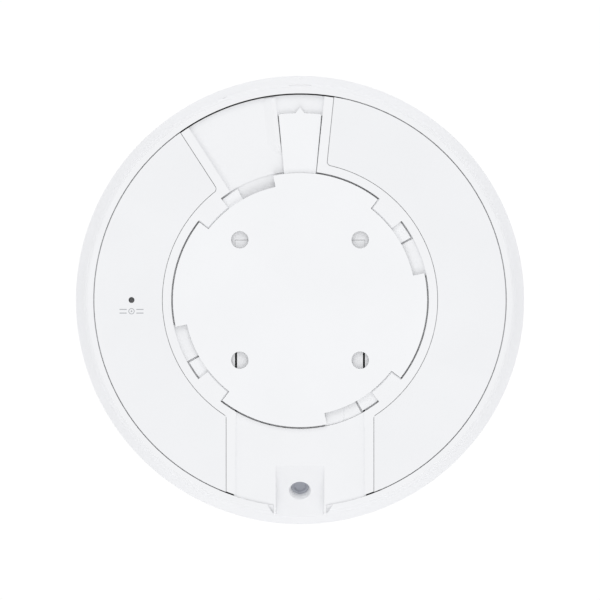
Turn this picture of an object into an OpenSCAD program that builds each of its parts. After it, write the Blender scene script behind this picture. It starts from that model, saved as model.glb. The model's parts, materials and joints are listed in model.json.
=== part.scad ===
// Ceiling access point: a round white radio unit hanging from a bayonet mounting bracket.
// Z = 0 is the ceiling plane, +Z points to the ceiling, and the unit hangs towards -Z.
// +Y points to the lock tongue and -Y to the cable groove. All sizes are in millimetres.

/* [Unit] */
// Widest diameter of the unit
overall_d = 220; // [216:1:226]
// Distance from the ceiling to the lowest point of the dome
overall_h = 48; // [47:0.5:52]
// Outer diameter of the flat rim on the ceiling side
rim_d = 209.2; // [208:0.2:210]
// Thickness of the outer mouldings
wall = 2; // [1.6:0.1:2.4]

/* [Mounting bracket] */
// Diameter of the bracket disc
disc_d = 124.4; // [124:0.2:124.6]
// Thickness of the bracket disc
disc_t = 2; // [1.6:0.1:2]
// Side of the square of four screw holes
screw_pitch = 58.9; // [50:0.1:62]
// Diameter of each screw hole
screw_hole_d = 8.4; // [4:0.1:9]

/* [Bayonet and lock] */
// Angle that the unit turns through to come off
bayonet_turn = 25; // [22:1:25]
// Angle that each lug covers
lug_angle = 14.2; // [12:0.2:14.2]
// Length of the tongue outside the disc
tongue_len = 29.2; // [24:0.1:30]
// Half of the tongue's width at its root
tongue_half_w = 7.5; // [6:0.1:7.5]

/* [Cable way] */
// Slope of the cable groove's floor, in degrees
ramp_angle = 36; // [32:1:36]
// Half of the groove's width
groove_half_w = 12.1; // [9:0.1:12.1]
// Diameter of the cable hole at the mouth
cable_hole_d = 10.7; // [9:0.1:11]

/* [Reset button] */
// Distance of the pinhole from the centre
reset_x = 82.4; // [78:0.1:84]
// Diameter of the pinhole
pinhole_d = 2.9; // [1.5:0.1:3]
// Travel of the reset button
reset_travel = 0.45; // [0.2:0.05:0.5]

/* [Hidden] */
$fn = 96;
eps = 0.01;

white = [0.94, 0.945, 0.955];
panel_white = [0.91, 0.915, 0.925];
grey_rubber = [0.48, 0.49, 0.53];
dark = [0.2, 0.2, 0.22];
metal = [0.75, 0.76, 0.78];
gold = [0.85, 0.68, 0.3];

// Radii, from the centre outwards
overall_r = overall_d / 2;
rim_r = rim_d / 2;
disc_r = disc_d / 2;
lug_in_r = 56.7;
lug_chamfer = 0.7;
lug_end_chamfer = 0.6;
slot_in_r = 56.6;
tab_in_r = 53.5;
ring_in_r = 63;
ring_out_r = 67.2;
seam = 0.5;
panel_out_r = 100.6;
tray_r = 99.9;
ridge_end_r = 100.35;
recess_out_r = 100.4;
channel_out_r = 101.05;
rim_in_r = 101.1;
platform_r = 51.5;
step_t = 1.5;
ledge_in_r = 94.5;
wall_foot_r = 105.9;

// Heights below the ceiling
ring_z = -0.8;
rim_z = -1;
panel_z = -0.9;
panel_t = 2;
lug_t = 1.2;
tab_z = -2.3;
tab_t = 1.5;
tongue_z = -1.6;
tongue_t = 1.5;
floor_z = -6;
floor_t = 2;
under_floor_z = floor_z - floor_t;
platform_z = -3;
recess_z = -3.7;
trench_z = -7;
trench_w = 1.4;
inner_floor_z = -4.3;
slot_pad_z = -2.7;
seam_floor_z = -3.1;
seam_ledge_w = 1.6;
channel_z = -1.9;
plate_t = 2;
ledge_z = -8.1;
ledge_t = 1.5;
wall_foot_z = -20.5;
split_z = -34;
board_z = -26.4;
board_t = 1.6;
board_low_z = board_z - board_t;
board_r = 88;
can_h = 3;
pad_t = 1;
reflector_z = board_low_z - can_h - pad_t;
reflector_t = 2;
reflector_low_z = reflector_z - reflector_t;

// Angles: the unlocked lug stands over the first part of each bracket slot
lug_mid = 135;
lug_from = lug_mid - lug_angle / 2;
lug_to = lug_mid + lug_angle / 2;
slot_from = lug_from - bayonet_turn - 0.7;
notch_to = lug_to - bayonet_turn + 2.3;
slot_to = lug_to + 0.15;

// Lock tongue, its well and the recess it turns into
tongue_slope = 0.103;
tongue_tilt = atan(tongue_slope);
tongue_gap = 0.6;
nib_half_w = 2.2;
nib_h = 3;
ridge_w = 4.5;
recess_angle = 122.9;
rib_w = 2;
rib_z = -2.4;
rib_from = 14.5;
rib_to = 37;
rib_ramp_w = 7.8;
rib_taper = 9;
release_slot_w = 11.2;
release_slot_z = [-4.4, -2.6];

// Port bay and cable groove
bay_half_w = 31.8;
bay_top_y = 29.3;
cover_gap = 1;
cover_fit = 0.06;
latch_x = 21.4;
cover_end_r = 62.9;
channel_half_w = 31.3;
hook_x = 18;
hook_w = 8;
groove_fit = 0.05;
skirt_t = 1.5;
groove_start_y = -81.2;
groove_wall = 0.8;
groove_lean = 1.5;
flare_half_w = 15.8;
flare_y = -101;
flare_end_y = -106.2;
hole_along = 14.96;
bung_d = 8.7;
hole_cone_h = 2.3;
bung_depth = 3.3;
boss_r = 7;
boss_h = 7;

// Screws and posts
board_screw_at = [[66, 38], [-66, 38], [-66, -38], [66, -38], [0, 72]];
tray_screw_r = 96.8;
tray_screw_angles = [55, 5, 315, 225, 175, 140];
post_r = 3.5;
screw_r = 1.45;
clear_r = 1.7;
head_r = 2.8;
head_h = 1.6;

// Electronics
jack_w = 16.2;
jack_len = 21;
jack_h = 13;
jack_mouth_y = -41;
processor_at = [0, 33];
radio_at = [[-34, -10], [34, -10]];
socket_r = 56;
socket_turn = 15;
antenna_r = 64;

function at(r, a) = [r * cos(a), r * sin(a)];
function arc(r, a0, a1, n = 24) = [for (i = [0:n]) at(r, a0 + (a1 - a0) * i / n)];
function bezier(p0, p1, p2, p3, n = 12) = [for (i = [0:n]) let (t = i / n, s = 1 - t)
    s * s * s * p0 + 3 * s * s * t * p1 + 3 * s * t * t * p2 + t * t * t * p3];
function tongue_x(y) = tongue_half_w + (y - disc_r) * tongue_slope;

// A wedge from the centre, for cutting rings into sectors of less than 150 degrees
module wedge(a0, a1, r = 160) {
    polygon([[0, 0], at(r, a0), at(r, (a0 + a1) / 2), at(r, a1)]);
}

module ring(r_in, r_out) {
    difference() {
        circle(r = r_out);
        circle(r = r_in);
    }
}

module ring_sector(r_in, r_out, a0, a1) {
    intersection() {
        ring(r_in, r_out);
        wedge(a0, a1);
    }
}

// Extrudes its children from z_low up to z_high
module slab(z_low, z_high) {
    translate([0, 0, z_low]) linear_extrude(z_high - z_low) children();
}

module box(x0, x1, y0, y1, z0, z1) {
    translate([x0, y0, z0]) cube([x1 - x0, y1 - y0, z1 - z0]);
}

module rod(x, y, r, z_low, z_high) {
    translate([x, y, z_low]) cylinder(r = r, h = z_high - z_low);
}

// A round cable swept along a path, with flat ends
function sweep_dir(p, i) = let (n = len(p) - 1, d = p[min(i + 1, n)] - p[max(i - 1, 0)]) d / norm(d);
function sweep_ring(c, d, r, sides) = let (u0 = cross(d, [1, 1, -1]), u = u0 / norm(u0), v = cross(d, u))
    [for (k = [0:sides - 1]) c + r * (cos(360 * k / sides) * u + sin(360 * k / sides) * v)];
module sweep(path, r, sides = 8) {
    last = (len(path) - 1) * sides;
    points = [for (i = [0:len(path) - 1]) each sweep_ring(path[i], sweep_dir(path, i), r, sides)];
    sides_faces = [for (i = [0:len(path) - 2]) for (k = [0:sides - 1])
        let (a = i * sides + k, b = i * sides + (k + 1) % sides)
        each [[a, a + sides, b + sides], [a, b + sides, b]]];
    ends = [[for (k = [0:sides - 1]) k], [for (k = [sides - 1:-1:0]) last + k]];
    polyhedron(points, concat(sides_faces, ends));
}

// ---- Bracket ----

module bracket_tab() {
    slab(tab_z - tab_t, tab_z) ring_sector(tab_in_r, disc_r, notch_to, slot_to);
    slab(tab_z - tab_t, -disc_t + eps) ring_sector(tab_in_r, slot_in_r, notch_to, slot_to);
}

module mount_bracket() {
    color(white) difference() {
        union() {
            slab(-disc_t, 0) difference() {
                circle(r = disc_r);
                for (k = [0:3]) rotate(90 * k) ring_sector(slot_in_r, disc_r + 2, slot_from, slot_to);
            }
            for (k = [0:3]) rotate(90 * k) bracket_tab();
            // Root of the tongue, below the disc
            intersection() {
                box(-tongue_half_w, tongue_half_w, 52, 70, tongue_z - tongue_t, -disc_t + eps);
                cylinder(r = disc_r, h = 40, center = true);
            }
        }
        for (x = [-1, 1]) for (y = [-1, 1])
            rod(x * screw_pitch / 2, y * screw_pitch / 2, screw_hole_d / 2, -10, 1);
    }
}

module tongue_outline() {
    tip_r = disc_r + tongue_len;
    tip_x = tongue_x(tip_r);
    tip_a = asin(tip_x / tip_r);
    nib_a = asin(nib_half_w / tip_r);
    difference() {
        polygon(concat(
            [[-tongue_half_w, disc_r - 4]],
            arc(tip_r, 90 + tip_a, 90 + nib_a, 8),
            [[0, tip_r + nib_h]],
            arc(tip_r, 90 - nib_a, 90 - tip_a, 8),
            [[tongue_half_w, disc_r - 4]]));
        circle(r = disc_r + 0.03);
    }
}

module lock_tongue() {
    color(white) slab(tongue_z - tongue_t, tongue_z) tongue_outline();
}

// ---- Base tray ----

// The two walls beside the tongue, drawn as bars that lean with it
module beside_tongue(side, gap, width, y_from, y_to) {
    translate([side * (tongue_half_w + gap / cos(tongue_tilt)), disc_r]) rotate(-side * tongue_tilt)
        translate([side > 0 ? 0 : -width, y_from]) square([width, y_to - y_from]);
}

// Ring and ridges, with small fillets where they meet
module tray_raised_outline() {
    offset(r = -2.25) offset(delta = 2.25) {
        difference() {
            ring(ring_in_r, ring_out_r, $fn = 180);
            wedge(90 - asin((tongue_half_w + tongue_gap) / ring_in_r), recess_angle);
            translate([-channel_half_w, -ring_out_r - 1]) square([2 * channel_half_w, 60]);
        }
        intersection() {
            union() {
                beside_tongue(1, tongue_gap, ridge_w, 0, 45);
                rotate(recess_angle) translate([ring_in_r, 0]) square([40, ridge_w]);
                for (s = [-1, 1]) translate([s * (channel_half_w + 0.2 + ridge_w / 2) - ridge_w / 2, -102])
                    square([ridge_w, 46]);
            }
            ring(ring_in_r, ridge_end_r, $fn = 180);
        }
    }
}

// Everything between the wall right of the tongue and the recess's left wall
module recess_sector(r_in, r_out) {
    intersection() {
        ring(r_in, r_out);
        wedge(75, recess_angle);
        beside_tongue(1, tongue_gap + 0.5 - 160, 160, -70, 60);
    }
}

// Trenches along the tongue's edges, beside the right wall and the locking rib
module trenches() {
    intersection() {
        ring(ring_in_r, recess_out_r);
        union() {
            beside_tongue(1, tongue_gap - trench_w, trench_w, 0, tongue_len - 1);
            beside_tongue(-1, tongue_gap - trench_w, trench_w, rib_from, tongue_len - 1);
        }
    }
}

module bay_window() {
    intersection() {
        translate([-bay_half_w, -70]) square([2 * bay_half_w, 70 + bay_top_y + 0.1]);
        circle(r = ring_in_r);
    }
}

// A flat-topped rib with a long ramp on its outer side, tapering out towards the tongue's root
module lock_rib() {
    low = recess_z - 1;
    out = -rib_w - rib_ramp_w;
    end = rib_from - rib_taper;
    points = [[0, rib_to, rib_z], [-rib_w, rib_to, rib_z], [-rib_w, rib_from, rib_z], [0, rib_from, rib_z],
        [0, rib_to, low], [out, rib_to, low], [out, rib_from, low], [-rib_w, end, low], [0, end, low]];
    translate([-(tongue_half_w + tongue_gap / cos(tongue_tilt)), disc_r, 0]) rotate(tongue_tilt)
        polyhedron(points, [[0, 3, 2, 1], [1, 2, 6, 5], [2, 7, 6], [3, 8, 7, 2], [0, 4, 8, 3], [0, 1, 5, 4],
            [4, 5, 6, 7, 8]]);
}

// Walls that hang round the port bay, down to just above the board
module bay_skirt() {
    outer_w = bay_half_w + skirt_t;
    difference() {
        slab(board_z + 0.5, platform_z - floor_t + eps) intersection() {
            difference() {
                translate([-outer_w, -92]) square([2 * outer_w, 92 + bay_top_y + skirt_t]);
                translate([-bay_half_w, -110]) square([2 * bay_half_w, 110.1 + bay_top_y]);
            }
            circle(r = platform_r);
        }
        for (x = [-hook_x, hook_x])
            box(x - hook_w / 2 - 1, x + hook_w / 2 + 1, bay_top_y - 1, bay_top_y + 3, -8, -4);
    }
    slab(board_z + 0.5, under_floor_z + eps) intersection() {
        for (x = [-outer_w, bay_half_w]) translate([x, -92]) square([skirt_t, 60]);
        ring(platform_r - step_t, ledge_in_r - 1);
    }
}

// Floor, bayonet ring's wall and bracket platform, with an opening for the port bay
module tray_floors() {
    difference() {
        union() {
            slab(under_floor_z, floor_z) ring(ring_in_r, tray_r);
            slab(under_floor_z, inner_floor_z) ring(ring_in_r - step_t, ring_in_r + step_t);
            slab(inner_floor_z - floor_t, inner_floor_z) ring(platform_r - step_t, ring_in_r);
            slab(platform_z - floor_t, platform_z) circle(r = platform_r);
            // Ledges below the seams, on which the panels rest
            slab(under_floor_z, seam_floor_z) intersection() {
                offset(delta = seam_ledge_w) tray_raised_outline();
                ring(ring_out_r - 1, tray_r, $fn = 180);
            }
        }
        slab(-9, 0) bay_window();
        slab(-9, 0) translate([-channel_half_w, -120]) square([2 * channel_half_w, 70]);
        slab(-9, 0) recess_sector(ring_in_r, recess_out_r + 1);
    }
    difference() {
        union() {
            slab(recess_z - floor_t, recess_z) recess_sector(ring_in_r, recess_out_r);
            slab(under_floor_z, recess_z) recess_sector(ring_in_r, ring_in_r + step_t);
            slab(trench_z - 1.5, recess_z - 1) offset(delta = 1.2) trenches();
        }
        slab(trench_z, 0) trenches();
    }
}

// A lug with its inner edge and one end chamfered
module lug(a0) {
    cut = lug_end_chamfer * sqrt(2);
    difference() {
        rotate(a0) rotate_extrude(angle = lug_angle, $fn = 180)
            polygon([[lug_in_r, ring_z - lug_t], [ring_in_r + 1, ring_z - lug_t], [ring_in_r + 1, ring_z],
                [lug_in_r + lug_chamfer, ring_z], [lug_in_r, ring_z - lug_chamfer]]);
        rotate(a0 + lug_angle) translate([lug_in_r - 1, 0, ring_z]) rotate([45, 0, 0])
            translate([0, -cut / 2, -cut / 2]) cube([10, cut, cut]);
    }
}

// Raised floor below the open part of each bracket slot, clear of the bracket's tabs as it turns
module slot_pad(turn) {
    slab(inner_floor_z - eps, slot_pad_z) rotate(turn)
        ring_sector(tab_in_r, ring_in_r + 0.5, slot_from - 1, notch_to - 0.9);
}

module base_tray() {
    color(white) difference() {
        union() {
            tray_floors();
            slab(under_floor_z, ring_z) tray_raised_outline();
            for (k = [0:3]) lug(lug_from + 90 * k);
            for (k = [1, 3]) slot_pad(90 * k);
            lock_rib();
            bay_skirt();
            cable_channel();
            for (p = board_screw_at)
                rod(p[0], p[1], post_r, board_z, p[0] == 0 ? recess_z - 1 : under_floor_z + 0.5);
        }
        for (p = board_screw_at) rod(p[0], p[1], screw_r + 0.05, board_z - 1, board_z + 9);
        for (a = tray_screw_angles) rod(tray_screw_r * cos(a), tray_screw_r * sin(a), clear_r, -10, -3);
        for (a = panel_pin_angles) rod(84 * cos(a), 84 * sin(a), 1.4, -10, -3);
        rod(-reset_x, 0, 2.7, -10, -3);
        cover_hole();
    }
}

// ---- Panels in the tray ----

panel_pin_angles = [150, 195, 230, 310, 345, 30, 65];
panel_corner_r = 2;
panel_in_r = ring_out_r + seam / 2;
panel_low_x = channel_half_w + 0.2 + ridge_w + seam / 2;

// Distance from the centre to the panel's upper edge, with its direction and the normal into the panel
function edge_dist(side) = ridge_w + seam / 2 + (side < 0 ? 0
    : tongue_half_w * cos(tongue_tilt) + tongue_gap - disc_r * sin(tongue_tilt));
function edge_dir(side) = side < 0 ? at(1, recess_angle) : at(1, 90 - tongue_tilt);
function edge_normal(side) = side < 0 ? at(1, recess_angle + 90) : at(1, -tongue_tilt);

// What rounds the corner between the panel's inner and upper edges
module panel_corner(side) {
    n = edge_normal(side);
    v = edge_dir(side);
    d = edge_dist(side);
    // The circle crosses both edges by a hair, because tangent edges leave a sliver
    reach = panel_corner_r - 0.02;
    c = (d + reach) * n + sqrt(pow(panel_in_r + reach, 2) - pow(d + reach, 2)) * v;
    difference() {
        polygon([c, c - (panel_corner_r + 1) * n, (d - 1) * n + (sqrt(pow(panel_in_r, 2) - d * d) - 1) * v,
            c * (panel_in_r - 1) / (panel_in_r + panel_corner_r)]);
        translate(c) circle(r = panel_corner_r);
    }
}

module panel_outline(side) {
    n = edge_normal(side);
    v = edge_dir(side);
    d = edge_dist(side);
    difference() {
        ring(panel_in_r, panel_out_r);
        translate([-panel_low_x, -120]) square([2 * panel_low_x, 100]);
        polygon([d * n - 10 * v, d * n + 150 * v, (d - 150) * n + 150 * v, (d - 150) * n - 10 * v]);
        translate([side < 0 ? 0 : -120, -120]) square([120, 240]);
        panel_corner(side);
    }
}

module panel(side) {
    slab(panel_z - panel_t, panel_z) panel_outline(side);
    for (a = panel_pin_angles) if (side * cos(a) > 0) {
        rod(84 * cos(a), 84 * sin(a), 2.6, floor_z + 0.05, panel_z - panel_t + eps);
        rod(84 * cos(a), 84 * sin(a), 1.2, under_floor_z - 0.6, floor_z + 0.06);
    }
}

module left_panel() {
    color(panel_white) difference() {
        panel(-1);
        rod(-reset_x, 0, pinhole_d / 2, -5, 0);
    }
}

module right_panel() {
    color(panel_white) panel(1);
}

// ---- Channel and groove for the cable ----

module on_ramp() {
    translate([0, groove_start_y, channel_z]) rotate([ramp_angle, 0, 0]) children();
}

module cover_hole() {
    on_ramp() translate([0, -hole_along, 0]) {
        translate([0, 0, -boss_h - 1]) cylinder(r = bung_d / 2, h = boss_h + 1);
        translate([0, 0, -hole_cone_h]) cylinder(r1 = bung_d / 2, r2 = cable_hole_d / 2, h = hole_cone_h);
        cylinder(r = cable_hole_d / 2, h = 9);
    }
}

// Everything above the ramp between the groove's walls
module groove_space() {
    intersection() {
        on_ramp() box(-groove_half_w, groove_half_w, -45, 20, 0, 40);
        box(-groove_half_w, groove_half_w, -120, groove_start_y, -40, 5);
    }
}

module groove_trough() {
    outer_w = groove_half_w + groove_wall;
    intersection() {
        union() {
            on_ramp() box(-outer_w, outer_w, -40, 0, -plate_t, 0);
            for (s = [-1, 1]) translate([s * groove_half_w, 0, channel_z]) rotate([0, s * groove_lean, 0])
                box(s > 0 ? -0.2 : -groove_wall - 2, s > 0 ? groove_wall + 2 : 0.2,
                    -112, groove_start_y, -24, 0.5);
        }
        unit_envelope();
        on_ramp() box(-outer_w, outer_w, -45, 0, -plate_t, 40);
        box(-20, 20, -120, groove_start_y + 0.6, -40, channel_z);
    }
    intersection() {
        on_ramp() translate([0, -hole_along, -boss_h]) cylinder(r = boss_r, h = boss_h - 0.5);
        box(-20, 20, -120, -60, -30, channel_z);
    }
}

module cable_channel() {
    difference() {
        slab(channel_z - plate_t, channel_z) intersection() {
            ring(ring_in_r, channel_out_r);
            translate([-channel_half_w - 1, -120]) square([2 * channel_half_w + 2, 80]);
        }
        groove_space();
    }
    slab(under_floor_z, channel_z - 1) intersection() {
        ring(ring_in_r, ring_in_r + step_t);
        translate([-channel_half_w - 1, -80]) square([2 * channel_half_w + 2, 40]);
    }
    groove_trough();
}

// ---- Port cover ----

module port_cover() {
    half_w = bay_half_w - cover_gap;
    color(white) difference() {
        union() {
            slab(platform_z - floor_t, platform_z) intersection() {
                circle(r = platform_r);
                translate([-half_w, -60]) square([2 * half_w, 60 + bay_top_y - cover_fit]);
            }
            // Wings that close the side gaps at the cover's inner end
            box(-half_w - 0.9, half_w + 0.9, bay_top_y - 8, bay_top_y - cover_fit,
                platform_z - floor_t, platform_z);
            slab(inner_floor_z - floor_t, inner_floor_z) intersection() {
                ring(platform_r - step_t, cover_end_r);
                translate([-half_w, -80]) square([2 * half_w, 60]);
            }
            slab(inner_floor_z - floor_t, platform_z) intersection() {
                ring(platform_r - step_t, platform_r);
                translate([-half_w, -80]) square([2 * half_w, 60]);
            }
            for (x = [-hook_x, hook_x]) {
                box(x - hook_w / 2, x + hook_w / 2, bay_top_y - 5, bay_top_y - 0.3, -7.2, -5 + eps);
                box(x - hook_w / 2, x + hook_w / 2, bay_top_y - 5, bay_top_y + 1.2, -7.2, -5.6);
            }
            intersection() {
                slot_pad(180);
                cylinder(r = cover_end_r, h = 40, center = true);
            }
        }
        // Shallow line that marks the spring latch
        box(latch_x - 0.2, latch_x + 0.2, -64, -52, slot_pad_z - 0.25, slot_pad_z + 1);
    }
}

module cable_bung() {
    color(grey_rubber) on_ramp() translate([0, -hole_along, 0]) {
        difference() {
            translate([0, 0, -boss_h + 0.2]) cylinder(r = bung_d / 2 - 0.05, h = boss_h - bung_depth - 0.2);
            translate([0, 0, -bung_depth - 1]) cylinder(r1 = 2.6, r2 = 3.4, h = 1.1);
        }
        translate([0, 0, -boss_h - 1]) cylinder(r = bung_d / 2 + 1.2, h = 0.95);
        translate([0, 0, -boss_h - 0.2]) cylinder(r = bung_d / 2 - 0.05, h = 0.5);
    }
}

// ---- Outer shells ----

// The whole outer form down to the seam of the front cover, without its inside
module unit_envelope() {
    rotate_extrude($fn = 180) polygon(concat([[0, rim_z], [rim_in_r, rim_z]], rim_edge, shell_side(0),
        [[0, split_z]]));
}

rim_edge = [for (a = [90:-15:0]) [rim_r - 1 + 1.7 * cos(a), rim_z - 3.8 + 3.8 * sin(a)]];

function shell_side(inset) = bezier([wall_foot_r - inset, wall_foot_z],
    [wall_foot_r + 0.3 - inset, wall_foot_z - 4.5],
    [overall_r - inset, split_z + 6], [overall_r - inset, split_z + 0.15]);

// Shallow scoop on both sides of the groove where it crosses the rim
module groove_flare() {
    intersection() {
        slab(-12, 1) polygon([[-flare_half_w, -98], [flare_half_w, -98], [flare_half_w, flare_y + 0.6],
            [groove_half_w, flare_end_y], [-groove_half_w, flare_end_y], [-flare_half_w, flare_y + 0.6]]);
        translate([0, flare_y, channel_z]) rotate([ramp_angle, 0, 0]) box(-20, 20, -20, 20, 0, 20);
    }
}

module rear_housing() {
    bosses = [for (a = tray_screw_angles) at(tray_screw_r, a)];
    ledge_low_z = ledge_z - ledge_t;
    inner = shell_side(wall);
    catch_angles = [22.5:45:337.5];
    color(white) difference() {
        union() {
            rotate_extrude($fn = 180) polygon(concat(
                [[rim_in_r, rim_z]],
                rim_edge,
                shell_side(0),
                [for (i = [len(inner) - 1:-1:0]) inner[i]],
                [[rim_r - wall, ledge_low_z], [ledge_in_r, ledge_low_z], [ledge_in_r, ledge_z],
                    [rim_in_r, ledge_z]]));
            for (p = bosses) rod(p[0], p[1], 3.4, ledge_low_z - 9, ledge_low_z + eps);
            // Lips below the outer seams of the panels
            for (a = [[recess_angle + 4, 186], [186, 247], [-67, 10], [10, 78]])
                slab(seam_floor_z - 1.5, seam_floor_z) ring_sector(tray_r + 0.1, rim_in_r + 1, a[0], a[1]);
            for (a = catch_angles) slab(split_z + 3.6, split_z + 5)
                ring_sector(overall_r - 4.6, overall_r - 2.2, a - 3, a + 3);
        }
        for (p = bosses) rod(p[0], p[1], screw_r + 0.05, ledge_low_z - 8, ledge_z + 1);
        // Opening for the cable groove, flared where it crosses the rim
        intersection() {
            on_ramp() box(-groove_half_w - groove_wall - groove_fit, groove_half_w + groove_wall + groove_fit,
                -45, 0, -plate_t - groove_fit, 60);
            box(-20, 20, -120, -85, -30, 1);
        }
        groove_flare();
        // The ledge is open below the tongue's recess and at the ends of the lower ridges
        slab(ledge_low_z - 1, ledge_z + 1) {
            ring_sector(ledge_in_r - 1, rim_in_r, 79, 125);
            ring_sector(ledge_in_r - 1, rim_in_r, 245, 295);
        }
        // Slot for the tool that lifts the lock tongue
        box(-release_slot_w / 2, release_slot_w / 2, 98, 110, release_slot_z[0], release_slot_z[1]);
    }
}

function dome(inset) = bezier([overall_r - inset, split_z - 0.15],
    [overall_r - inset, split_z - 6.5 + inset / 2], [72 - inset, -overall_h + inset],
    [0, -overall_h + inset], 20);

module front_cover() {
    inner = dome(wall);
    hook_angles = [22.5:45:337.5];
    color(white) difference() {
        union() {
            rotate_extrude($fn = 180) polygon(concat(dome(0), [for (i = [len(inner) - 1:-1:0]) inner[i]]));
            for (a = hook_angles) {
                slab(split_z - 3.8, split_z + 6.6)
                    ring_sector(overall_r - 7, overall_r - 5, a - 2.4, a + 2.4);
                slab(split_z + 5.2, split_z + 6.6)
                    ring_sector(overall_r - 7, overall_r - 4, a - 2.4, a + 2.4);
            }
        }
        rod(0, 0, 3.1, -overall_h - 1, -overall_h + 5);
    }
}

module light_pipe() {
    color([0.85, 0.9, 0.95]) {
        rod(0, 0, 3, -overall_h, -overall_h + wall + 1.5);
        rod(0, 0, 4.4, -overall_h + wall + 0.05, -overall_h + wall + 1.5);
        rod(0, 0, 2.2, -overall_h + wall + 1, board_low_z - 1.2);
    }
}

module rating_label() {
    color([0.98, 0.98, 0.98]) slab(platform_z, platform_z + 0.12) translate([-23, -22]) square([46, 34]);
}

// ---- Electronics ----

module main_board() {
    color([0.1, 0.35, 0.2]) difference() {
        rod(0, 0, board_r, board_low_z, board_z);
        for (p = board_screw_at) rod(p[0], p[1], clear_r, -40, -20);
    }
}

// A pressed metal lid with an open side on the board
module shield_can(x, y, w, d) {
    difference() {
        box(x - w / 2, x + w / 2, y - d / 2, y + d / 2, board_low_z - can_h, board_low_z);
        box(x - w / 2 + 0.4, x + w / 2 - 0.4, y - d / 2 + 0.4, y + d / 2 - 0.4,
            board_low_z - can_h + 0.4, board_low_z + 1);
    }
}

module processor_shield() {
    color(metal) shield_can(processor_at[0], processor_at[1], 34, 34);
}

module radio_shields() {
    color(metal) for (p = radio_at) shield_can(p[0], p[1], 30, 30);
}

module thermal_pads() {
    z = board_low_z - can_h;
    color([0.55, 0.6, 0.75]) {
        for (p = radio_at) box(p[0] - 11, p[0] + 11, p[1] - 11, p[1] + 11, z - pad_t, z);
        box(processor_at[0] - 13, processor_at[0] + 13, processor_at[1] - 13, processor_at[1] + 13,
            z - pad_t, z);
    }
}

module reflector_plate() {
    color(metal) difference() {
        union() {
            rod(0, 0, 92, reflector_low_z, reflector_z);
            for (p = board_screw_at) rod(p[0], p[1], 3, reflector_z - eps, board_low_z);
        }
        for (p = board_screw_at) rod(p[0], p[1], clear_r, -40, -20);
        for (a = [30, 150, 210, 330]) rod(socket_r * cos(a), socket_r * sin(a), 5, -40, -25);
        rod(0, 0, 5, -40, -25);
    }
}

module ethernet_jack() {
    x = jack_w / 2;
    y1 = jack_mouth_y + jack_len;
    z1 = board_z + jack_h;
    color(metal) difference() {
        box(-x, x, jack_mouth_y, y1, board_z, z1);
        box(-5.9, 5.9, jack_mouth_y - 1, jack_mouth_y + 14, board_z + 3.4, board_z + 10.2);
        box(-3.3, 3.3, jack_mouth_y - 1, jack_mouth_y + 14, board_z + 1.2, board_z + 4);
    }
}

module jack_contacts() {
    pitch = 1.02;
    color(gold) for (i = [0:7]) translate([(i - 3.5) * pitch, jack_mouth_y + 13.9, board_z + 10.1])
        rotate([28, 0, 0]) translate([-0.2, -9, -0.4]) cube([0.4, 9, 0.3]);
}

module lan_transformer() {
    color(dark) {
        box(-9, 9, -14, -1, board_z, board_z + 6);
    }
}

module poe_transformer() {
    color([0.25, 0.2, 0.15]) {
        box(44, 60, -8, 8, board_z, board_z + 3);
        box(46, 58, -8.5, 8.5, board_z + 3, board_z + 12);
    }
}

module power_inductor() {
    color(dark) {
        rod(52, 24, 6, board_z, board_z + 6.5);
        rod(52, -22, 5, board_z, board_z + 5.5);
    }
}

module capacitors() {
    color([0.3, 0.32, 0.38]) for (p = [[44, 40], [56, 40], [70, 18], [70, -18], [44, -38]])
        rod(p[0], p[1], 4, board_z, board_z + 11);
}

module memory_chips() {
    color(dark) for (p = [[-48, 12], [-62, 12], [-48, -12], [-62, -12]])
        box(p[0] - 5, p[0] + 5, p[1] - 5.5, p[1] + 5.5, board_z, board_z + 1.1);
}

module status_led() {
    color([0.9, 0.95, 1]) box(-1.5, 1.5, -1.5, 1.5, board_low_z - 0.8, board_low_z);
}

module reset_switch() {
    color(dark) {
        box(-reset_x - 3, -reset_x + 3, -3, 3, board_z, board_z + 3.4);
        rod(-reset_x, 0, 1.7, board_z + 3.4 - eps, board_z + 4.2);
    }
}

module reset_button() {
    foot_z = board_z + 4.25 + reset_travel;
    color(dark) {
        rod(-reset_x, 0, 2.3, -8.3, -4.6);
        rod(-reset_x, 0, 3.6, -9.3, under_floor_z - 0.1);
        rod(-reset_x, 0, 1.5, foot_z, -9);
    }
}

module coax_sockets() {
    color(gold) for (a = [30, 150, 210, 330]) rotate(a) {
        box(socket_r - 1.3, socket_r + 1.3, -1.3, 1.3, board_low_z - 1.2, board_low_z);
        rod(socket_r, 0, 1.3, board_low_z - 2.2, board_low_z - 1.2 + eps);
    }
}

module antenna(k) {
    low_z = -41.4;
    color([0.8, 0.72, 0.5]) rotate(45 + 90 * k) translate([antenna_r, 0, 0]) {
        box(-8, 0.5, -5, 5, reflector_low_z - 0.6, reflector_low_z - 0.05);
        box(0, 0.5, -14, 14, low_z, reflector_low_z - 0.05);
        box(-8, 0.5, -14, 14, low_z, low_z + 0.5);
    }
}

// Each cable runs from its antenna's foot, across the plate and up through a round window
module coax(k) {
    turn = k % 2 == 0 ? -1 : 1;
    end = at(socket_r, turn * socket_turn);
    z = reflector_low_z;
    path = [[antenna_r - 8, 0, z - 0.75], [53.8, turn * 0.8, z - 0.95], [52.2, turn * 3.6, z - 1.1],
        [52.2, turn * 7.6, z - 1.1], [53.2, turn * 11.6, z - 0.6], [end[0], end[1] - turn * 0.8, z + 1.2],
        [end[0], end[1], z + 2.6], [end[0], end[1], board_low_z - 2.2]];
    color(dark) rotate(45 + 90 * k) sweep(path, 0.6);
}

// ---- Fasteners ----

module board_screws() {
    color(metal) for (p = board_screw_at) {
        rod(p[0], p[1], head_r, reflector_low_z - head_h, reflector_low_z);
        rod(p[0], p[1], screw_r, reflector_low_z - eps, board_z + 8);
    }
}

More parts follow.
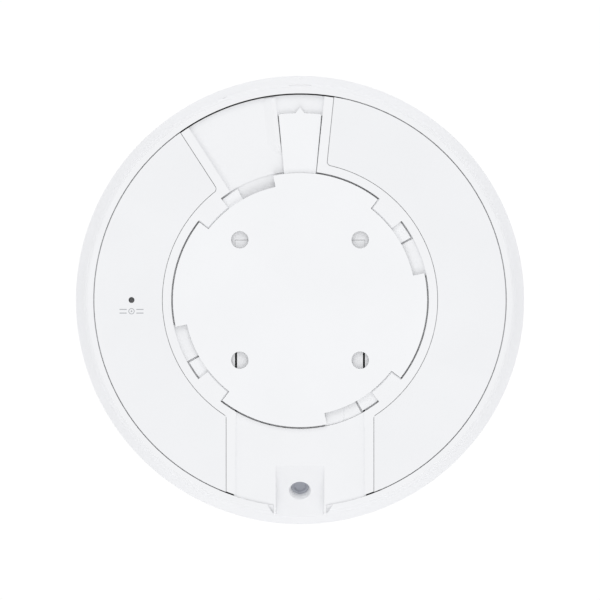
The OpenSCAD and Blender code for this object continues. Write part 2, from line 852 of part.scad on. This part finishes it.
module tray_screws() {
    color(metal) for (a = tray_screw_angles) let (p = at(tray_screw_r, a)) {
        rod(p[0], p[1], head_r, floor_z, floor_z + head_h);
        rod(p[0], p[1], screw_r, ledge_z - ledge_t - 7, floor_z + eps);
    }
}

mount_bracket();
lock_tongue();
base_tray();
left_panel();
right_panel();
port_cover();
cable_bung();
rear_housing();
front_cover();
light_pipe();
rating_label();
main_board();
processor_shield();
radio_shields();
thermal_pads();
reflector_plate();
ethernet_jack();
jack_contacts();
lan_transformer();
poe_transformer();
power_inductor();
capacitors();
memory_chips();
status_led();
reset_switch();
reset_button();
coax_sockets();
antenna(0);  // antenna_1
antenna(1);  // antenna_2
antenna(2);  // antenna_3
antenna(3);  // antenna_4
coax(0);  // coax_1
coax(1);  // coax_2
coax(2);  // coax_3
coax(3);  // coax_4
board_screws();
tray_screws();
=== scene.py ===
"""The looks of a ceiling access point, seen on the side that faces the ceiling."""
import json
import math

import bpy
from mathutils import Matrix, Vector


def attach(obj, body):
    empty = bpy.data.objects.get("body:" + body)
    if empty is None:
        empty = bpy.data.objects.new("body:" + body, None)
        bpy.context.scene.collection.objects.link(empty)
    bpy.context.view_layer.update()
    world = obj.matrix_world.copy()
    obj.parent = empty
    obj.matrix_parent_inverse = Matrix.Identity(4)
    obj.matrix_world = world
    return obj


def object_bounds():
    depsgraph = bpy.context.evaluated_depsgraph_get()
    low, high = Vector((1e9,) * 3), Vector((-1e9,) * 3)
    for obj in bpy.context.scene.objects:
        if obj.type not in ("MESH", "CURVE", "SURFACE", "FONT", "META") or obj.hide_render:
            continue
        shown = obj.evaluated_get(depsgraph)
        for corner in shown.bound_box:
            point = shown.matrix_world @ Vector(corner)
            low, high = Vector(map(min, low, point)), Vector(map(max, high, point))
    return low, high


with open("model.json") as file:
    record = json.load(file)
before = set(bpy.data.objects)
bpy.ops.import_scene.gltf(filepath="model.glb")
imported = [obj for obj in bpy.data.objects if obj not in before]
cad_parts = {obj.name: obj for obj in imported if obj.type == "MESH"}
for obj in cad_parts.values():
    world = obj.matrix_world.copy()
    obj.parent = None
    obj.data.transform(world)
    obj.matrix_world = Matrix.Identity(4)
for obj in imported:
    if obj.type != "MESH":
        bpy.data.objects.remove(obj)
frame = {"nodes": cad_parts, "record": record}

MM = 0.001
CAD_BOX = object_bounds()
NODES = frame["nodes"]
SLOT_OF = {part["node"]: part["material_slot"] for part in frame["record"]["subparts"]}


# ---- Camera, floor and light ----

def add_camera():
    """Looks straight down on the ceiling side, with +Y at the top of the frame."""
    distance = 10.0
    view_width = 293.4 * MM
    sensor_width = 36
    data = bpy.data.cameras.new("camera")
    data.sensor_width = sensor_width
    data.lens = sensor_width * distance / view_width
    data.clip_end = 6 * distance
    camera = bpy.data.objects.new("camera", data)
    camera.location = (0, 0, distance)
    bpy.context.scene.collection.objects.link(camera)
    bpy.context.scene.camera = camera


def add_floor():
    """A plain white floor, evenly bright to the eye, that throws soft light back on the sides."""
    half = 3.0
    gap = 0.3 * MM
    seen_brightness, thrown_brightness = 1.02, 0.13
    z = CAD_BOX[0][2] - gap
    mesh = bpy.data.meshes.new("floor")
    mesh.from_pydata([(-half, -half, z), (half, -half, z), (half, half, z), (-half, half, z)], [],
                     [(0, 1, 2, 3)])
    floor = bpy.data.objects.new("floor", mesh)
    bpy.context.scene.collection.objects.link(floor)
    mat = bpy.data.materials.new("floor_paper")
    mat.use_nodes = True
    tree = mat.node_tree
    paper = tree.nodes["Principled BSDF"]
    paper.inputs["Base Color"].default_value = (0.9, 0.9, 0.91, 1)
    paper.inputs["Roughness"].default_value = 0.9
    paper.inputs["Emission Color"].default_value = (1, 1, 1, 1)
    paper.inputs["Emission Strength"].default_value = thrown_brightness
    glow = tree.nodes.new("ShaderNodeEmission")
    glow.inputs["Strength"].default_value = seen_brightness
    kind = tree.nodes.new("ShaderNodeLightPath")
    mix = tree.nodes.new("ShaderNodeMixShader")
    tree.links.new(kind.outputs["Is Camera Ray"], mix.inputs["Fac"])
    tree.links.new(paper.outputs["BSDF"], mix.inputs[1])
    tree.links.new(glow.outputs["Emission"], mix.inputs[2])
    tree.links.new(mix.outputs["Shader"], tree.nodes["Material Output"].inputs["Surface"])
    mesh.materials.append(mat)


def add_soft_box(name, place, power):
    data = bpy.data.lights.new(name, "AREA")
    data.shape = "DISK"
    data.size = 1.4
    data.energy = power
    lamp = bpy.data.objects.new(name, data)
    lamp.location = place
    lamp.rotation_euler = (-Vector(place)).to_track_quat("-Z", "Y").to_euler()
    bpy.context.scene.collection.objects.link(lamp)


def add_light():
    """A bright overcast sky, and two soft boxes halfway up on the +Y and -Y sides."""
    reach = 1.62
    world = bpy.data.worlds.new("studio")
    world.use_nodes = True
    sky = world.node_tree.nodes["Background"]
    sky.inputs["Color"].default_value = (0.985, 0.99, 1.0, 1)
    sky.inputs["Strength"].default_value = 0.78
    bpy.context.scene.world = world
    add_soft_box("key", (0, -reach, reach), 9.7)
    add_soft_box("fill", (0, reach, reach), 9.1)
    bpy.context.scene.view_settings.view_transform = "Standard"


add_camera()
add_floor()
add_light()


# ---- Materials ----

class Finish:
    """A Principled material whose colour, roughness and relief come from procedural nodes."""

    def __init__(self, name, color, roughness, **sockets):
        self.mat = bpy.data.materials.new(name)
        self.mat.use_nodes = True
        self.tree = self.mat.node_tree
        self.shader = self.tree.nodes["Principled BSDF"]
        self.shader.inputs["Base Color"].default_value = (*color, 1)
        self.shader.inputs["Roughness"].default_value = roughness
        for socket, value in sockets.items():
            self.shader.inputs[socket.replace("_", " ")].default_value = value
        self.place = self.add("ShaderNodeTexCoord").outputs["Object"]

    def add(self, kind, **values):
        node = self.tree.nodes.new(kind)
        for socket, value in values.items():
            node.inputs[socket.replace("_", " ")].default_value = value
        return node

    def link(self, output, target):
        self.tree.links.new(output, target)

    def stretched(self, x, y, z):
        scale = self.add("ShaderNodeMapping", Scale=(x, y, z))
        self.link(self.place, scale.inputs["Vector"])
        return scale.outputs["Vector"]

    def noise(self, scale, detail=3, where=None):
        node = self.add("ShaderNodeTexNoise", Scale=scale, Detail=detail)
        self.link(where or self.place, node.inputs["Vector"])
        return node.outputs[0]

    def remap(self, value, low, high, from_low=0.3, from_high=0.7):
        node = self.add("ShaderNodeMapRange", From_Min=from_low, From_Max=from_high, To_Min=low, To_Max=high)
        self.link(value, node.inputs["Value"])
        return node.outputs["Result"]

    def blend(self, factor, first, second):
        """A colour between two, each a plain colour or another node's output."""
        mix = self.tree.nodes.new("ShaderNodeMix")
        mix.data_type = "RGBA"
        self.link(factor, mix.inputs[0])
        for socket, value in ((mix.inputs[6], first), (mix.inputs[7], second)):
            if isinstance(value, tuple):
                socket.default_value = (*value, 1)
            else:
                self.link(value, socket)
        return mix.outputs[2]

    def edges(self, strength=1.0):
        """Near 1 on worn outer edges, and 0 elsewhere."""
        return self.remap(self.add("ShaderNodeNewGeometry").outputs["Pointiness"], 0, strength, 0.52, 0.62)

    def set_color(self, output):
        self.link(output, self.shader.inputs["Base Color"])

    def set_roughness(self, output):
        self.link(output, self.shader.inputs["Roughness"])

    def relief(self, height, depth, strength=0.4):
        bump = self.add("ShaderNodeBump", Strength=strength, Distance=depth)
        self.link(height, bump.inputs["Height"])
        self.link(bump.outputs["Normal"], self.shader.inputs["Normal"])


def shade(color, factor):
    return tuple(min(1.0, c * factor) for c in color)


def moulded(name, color, roughness, grain=2600, depth=0.02, spread=0.012, **sockets):
    """Moulded plastic or rubber: fine spark-eroded grain, faint flow marks, edges worn smoother."""
    f = Finish(name, color, roughness, **sockets)
    flow = f.noise(22, 4)
    fine = f.noise(grain, 2)
    worn = f.edges(0.5)
    tint = f.blend(f.remap(flow, 0, 1), shade(color, 1 - spread), shade(color, 1 + spread))
    f.set_color(f.blend(worn, tint, shade(color, 1 + 1.5 * spread)))
    sheen = f.blend(f.noise(300, 3), (roughness - 0.05,) * 3, (roughness + 0.06,) * 3)
    f.set_roughness(f.blend(worn, sheen, (roughness - 0.1,) * 3))
    f.relief(fine, depth * MM)
    return f.mat


def sheet_metal(name, color, roughness, streaks=(1, 26, 1), spread=0.07, **sockets):
    """Rolled or drawn metal: long fine streaks, smudges, and brighter rubbed edges."""
    f = Finish(name, color, roughness, Metallic=1.0, **sockets)
    lines = f.noise(180, 5, f.stretched(*streaks))
    smudge = f.noise(45, 4)
    f.set_color(f.blend(f.edges(0.6), f.blend(f.remap(smudge, 0, 1), shade(color, 1 - spread), color),
                        shade(color, 1.15)))
    f.set_roughness(f.remap(lines, roughness - 0.08, roughness + 0.12))
    f.relief(lines, 0.01 * MM, 0.25)
    return f.mat


def circuit_board(name):
    """Green solder mask over copper tracks, with the tracks standing slightly proud."""
    mask, track = (0.012, 0.11, 0.05), (0.03, 0.2, 0.09)
    f = Finish(name, mask, 0.32, Specular_IOR_Level=0.55)
    bricks = f.add("ShaderNodeTexBrick", Scale=140, Mortar_Size=0.06, Mortar_Smooth=0.2, Brick_Width=0.9,
                   Row_Height=0.17)
    bricks.offset_frequency = 3
    f.link(f.place, bricks.inputs["Vector"])
    lines = bricks.outputs["Fac"]
    f.set_color(f.blend(lines, f.blend(f.remap(f.noise(60, 3), 0, 1), shade(mask, 0.85), mask), track))
    f.set_roughness(f.remap(f.noise(240, 3), 0.26, 0.42))
    f.relief(lines, 0.02 * MM)
    return f.mat


def capacitor_can(name):
    """A drawn aluminium can with blotchy tone and ring-shaped roughness streaks."""
    color = (0.55, 0.57, 0.62)
    f = Finish(name, color, 0.3, Metallic=0.9)
    rings = f.noise(300, 3, f.stretched(0.3, 0.3, 6))
    f.set_color(f.blend(f.remap(f.noise(80, 3), 0, 1), shade(color, 0.88), shade(color, 1.05)))
    f.set_roughness(f.remap(rings, 0.22, 0.42))
    f.relief(rings, 0.01 * MM)
    return f.mat


def clear_lens(name):
    color = (0.86, 0.9, 0.94)
    f = Finish(name, color, 0.12, IOR=1.49, Coat_Weight=0.4, Coat_Roughness=0.05)
    f.set_color(f.blend(f.remap(f.noise(120, 3), 0, 1), shade(color, 0.96), color))
    f.set_roughness(f.remap(f.noise(500, 3), 0.08, 0.2))
    f.relief(f.noise(900, 2), 0.005 * MM, 0.3)
    return f.mat


def paper_label(name):
    color = (0.88, 0.885, 0.89)
    f = Finish(name, color, 0.55)
    f.set_color(f.blend(f.remap(f.noise(400, 5), 0, 1), shade(color, 0.97), color))
    f.set_roughness(f.remap(f.noise(900, 3), 0.48, 0.62))
    f.relief(f.noise(2400, 4), 0.01 * MM)
    return f.mat


FINISHES = {
    "housing_white": moulded("housing_white", (0.889, 0.892, 0.903), 0.42),
    "panel_white": moulded("panel_white", (0.879, 0.883, 0.895), 0.46, grain=2200, depth=0.025),
    "bracket_white": moulded("bracket_white", (0.905, 0.909, 0.92), 0.4, grain=3000, depth=0.015),
    "grey_silicone": moulded("grey_silicone", (0.36, 0.375, 0.42), 0.6, grain=1500, depth=0.03, spread=0.05),
    "clear_lens": clear_lens("clear_lens"),
    "blank_label": paper_label("blank_label"),
    "circuit_board": circuit_board("circuit_board"),
    "shield_metal": sheet_metal("shield_metal", (0.68, 0.69, 0.7), 0.3),
    "thermal_pad": moulded("thermal_pad", (0.42, 0.48, 0.6), 0.75, grain=1200, depth=0.05, spread=0.06),
    "spreader_metal": sheet_metal("spreader_metal", (0.78, 0.79, 0.8), 0.34, streaks=(30, 1, 1)),
    "contact_metal": sheet_metal("contact_metal", (0.83, 0.63, 0.28), 0.24, streaks=(1, 1, 12)),
    "dark_plastic": moulded("dark_plastic", (0.035, 0.035, 0.04), 0.55, grain=1800, depth=0.03, spread=0.12),
    "ferrite": moulded("ferrite", (0.09, 0.085, 0.085), 0.7, grain=1100, depth=0.06, spread=0.15),
    "capacitor_metal": capacitor_can("capacitor_metal"),
    "led_body": moulded("led_body", (0.85, 0.88, 0.8), 0.2, grain=2600, depth=0.01, spread=0.02),
    "button_grey": moulded("button_grey", (0.52, 0.522, 0.53), 0.6, grain=1800, depth=0.03, spread=0.08),
    "antenna_metal": sheet_metal("antenna_metal", (0.74, 0.62, 0.4), 0.3, streaks=(1, 1, 18)),
    "cable_black": moulded("cable_black", (0.025, 0.025, 0.027), 0.5, grain=2000, depth=0.03, spread=0.1),
    "screw_steel": sheet_metal("screw_steel", (0.62, 0.63, 0.65), 0.28, streaks=(12, 12, 1)),
}


# ---- The CAD pieces ----

def soften(piece, width=0.22, angle=28):
    """Joins the split corners of a CAD mesh and rounds its sharp edges."""
    weld = piece.modifiers.new("weld", "WELD")
    weld.merge_threshold = 0.002 * MM
    bevel = piece.modifiers.new("bevel", "BEVEL")
    bevel.width = width * MM
    bevel.segments = 2
    bevel.limit_method = "ANGLE"
    bevel.angle_limit = math.radians(angle)
    bevel.harden_normals = False
    normals = piece.modifiers.new("normals", "WEIGHTED_NORMAL")
    normals.keep_sharp = True


EDGE_WIDTH = {"mount_bracket": 0.2, "lock_tongue": 0.25, "base_tray": 0.25, "left_panel": 0.2,
              "right_panel": 0.2, "port_cover": 0.2, "rear_housing": 0.2, "front_cover": 0.2}

for name, node in NODES.items():
    node.data.materials.clear()
    node.data.materials.append(FINISHES[SLOT_OF[name]])
    soften(node, EDGE_WIDTH.get(name, 0.08))


# ---- Small marks on the mouldings ----

def circle(x, y, r, sides=48):
    return [(x + r * math.cos(2 * math.pi * i / sides), y + r * math.sin(2 * math.pi * i / sides))
            for i in range(sides)]


def bar(x, y, width, height, corner, steps=6):
    """A rounded bar's outline around (x, y)."""
    points = []
    for k, (sx, sy) in enumerate(((1, 1), (-1, 1), (-1, -1), (1, -1))):
        for i in range(steps + 1):
            a = math.pi / 2 * (k + i / steps)
            points.append((x + sx * (width / 2 - corner) + corner * math.cos(a),
                           y + sy * (height / 2 - corner) + corner * math.sin(a)))
    return points


def prism(outer, inner, low, high):
    """Vertices and faces of a flat piece with an outline, and a hole of as many points if given."""
    n = len(outer)
    loops = [[(x, y, z) for x, y in line] for line in ([outer, inner] if inner else [outer])
             for z in (low, high)]
    points = [p for loop in loops for p in loop]
    faces = [(i, (i + 1) % n, n + (i + 1) % n, n + i) for i in range(n)]
    if inner:
        faces += [(2 * n + (i + 1) % n, 2 * n + i, 3 * n + i, 3 * n + (i + 1) % n) for i in range(n)]
        faces += [(n + i, n + (i + 1) % n, 3 * n + (i + 1) % n, 3 * n + i) for i in range(n)]
        faces += [((i + 1) % n, i, 2 * n + i, 2 * n + (i + 1) % n) for i in range(n)]
    else:
        faces += [tuple(range(n, 2 * n)), tuple(range(n - 1, -1, -1))]
    return points, faces


def add_piece(name, solids, body, slot):
    """One object from several (points, faces) solids, in millimetres."""
    points, faces = [], []
    for more_points, more_faces in solids:
        start = len(points)
        points += [tuple(c * MM for c in p) for p in more_points]
        faces += [tuple(start + i for i in face) for face in more_faces]
    mesh = bpy.data.meshes.new(name)
    mesh.from_pydata(points, [], faces)
    mesh.materials.append(FINISHES[slot])
    piece = bpy.data.objects.new(name, mesh)
    bpy.context.scene.collection.objects.link(piece)
    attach(piece, body)
    return piece


def add_pinhole_mark():
    """A plain ring between pairs of bars, printed below the pinhole."""
    x, y = -82.4, -5.5
    panel_top = -0.9
    low, high = panel_top - 0.005, panel_top + 0.015
    ring_r, ring_hole_r, dot_r = 1.5, 1.15, 0.4
    bar_x, bar_y, bar_width, bar_height, bar_corner = 4.1, 0.9, 3.6, 0.42, 0.2
    ring = prism(circle(x, y, ring_r), circle(x, y, ring_hole_r), low, high)
    dot = prism(circle(x, y, dot_r, 24), None, low, high)
    bars = [prism(bar(x + side * bar_x, y + lift * bar_y, bar_width, bar_height, bar_corner), None, low, high)
            for side in (-1, 1) for lift in (-1, 1)]
    add_piece("pinhole_mark", [ring, dot] + bars, "unit", "button_grey").data.materials[0] = MARK_INK


def add_wall_tick(name, angle, r, low, high, half_width, proud):
    """A short raised tick on the side wall, to line the unit up with its bracket."""
    across = [-half_width, -half_width * 0.6, half_width * 0.6, half_width]
    out = [0, proud, proud, 0]
    a = math.radians(angle)
    points = []
    for z in (low, high):
        for t, h in zip(across, out):
            radius = r + h
            points.append((radius * math.cos(a) - t * math.sin(a), radius * math.sin(a) + t * math.cos(a), z))
    faces = [(0, 1, 5, 4), (1, 2, 6, 5), (2, 3, 7, 6), (3, 0, 4, 7), (3, 2, 1, 0), (4, 5, 6, 7)]
    add_piece(name, [(points, faces)], "unit", "housing_white")


def add_flare_dot():
    """A small raised dot on the flare, in line with the lock tongue."""
    centre = Vector((0, 108.72, -28.2))
    along, down, out = Vector((0.6, 0, 0)), Vector((0, 0.385, -0.923)), Vector((0, 0.923, 0.385))
    height, sunk = 0.36, 0.08
    rings, sides = 4, 24
    points = [tuple(centre + (height - sunk) * out)]
    faces = []
    for k in range(1, rings + 1):
        t = math.pi / 2 * k / rings
        for i in range(sides):
            a = 2 * math.pi * i / sides
            points.append(tuple(centre + math.sin(t) * (math.cos(a) * along + math.sin(a) * down)
                                + (height * math.cos(t) - sunk) * out))
    for i in range(sides):
        faces.append((0, 1 + i, 1 + (i + 1) % sides))
        for k in range(rings - 1):
            low = 1 + k * sides
            faces.append((low + i, low + sides + i, low + sides + (i + 1) % sides, low + (i + 1) % sides))
    faces.append(tuple(reversed(range(1 + (rings - 1) * sides, 1 + rings * sides))))
    add_piece("flare_dot", [(points, faces)], "unit", "housing_white")


MARK_INK = moulded("mark_ink", (0.42, 0.43, 0.45), 0.5, grain=1500, depth=0.01, spread=0.05)
add_pinhole_mark()
add_flare_dot()
add_wall_tick("rim_tick", 110.4, 105.6, -15.5, -12, 1.3, 0.28)
